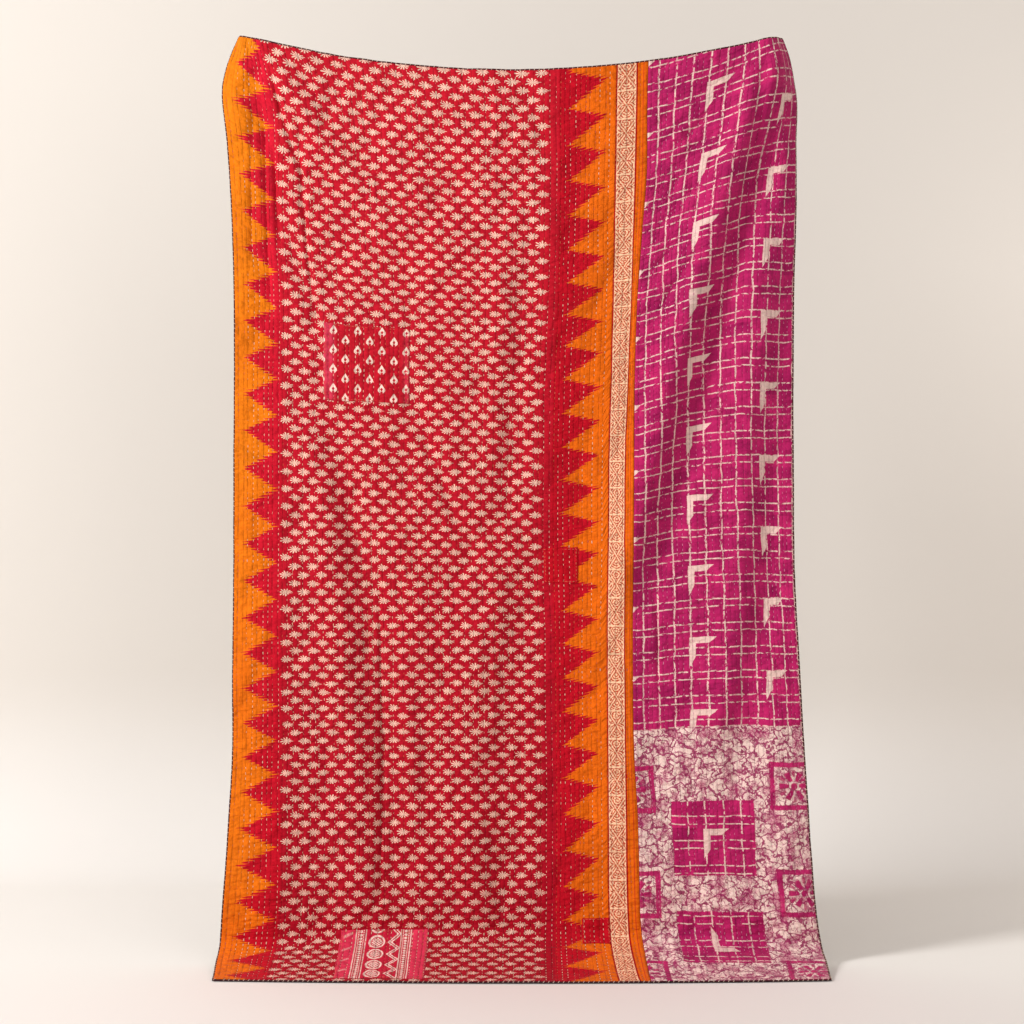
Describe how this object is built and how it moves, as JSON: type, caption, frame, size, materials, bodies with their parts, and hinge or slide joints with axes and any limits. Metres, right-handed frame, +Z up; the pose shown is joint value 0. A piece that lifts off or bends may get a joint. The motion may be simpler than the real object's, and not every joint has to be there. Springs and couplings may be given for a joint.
{
  "type": "kantha quilt",
  "caption": "Kantha quilt of running-stitched cotton, hung by its top corners with its foot on the floor: red leaf-print sari cloth beside a magenta batik panel, patched.",
  "frame": {"origin": "middle of the quilt's top edge, as it hangs", "axes": "+Z up, +X to the right across the front, the front faces -Y and the foot lies forward towards -Y"},
  "size_m": [1.3064, 0.2399, 2.013],
  "materials": {
    "sari_cloth": "soft washed cotton print, matt",
    "batik_cloth": "soft washed cotton batik, matt with a faint sheen",
    "backing_cloth": "plain dark cotton, matt",
    "arch_patch_cloth": "printed cotton, matt",
    "vine_patch_cloth": "block-printed cotton, matt",
    "plain_patch_cloth": "plain cotton, matt"
  },
  "bodies": {
    "root": {"sari_panel": "sari_cloth", "batik_panel": "batik_cloth", "backing_cloth": "backing_cloth", "patch_arches": "arch_patch_cloth", "patch_vines": "vine_patch_cloth", "patch_border": "plain_patch_cloth", "patch_foot": "plain_patch_cloth"}
  },
  "joints": []
}
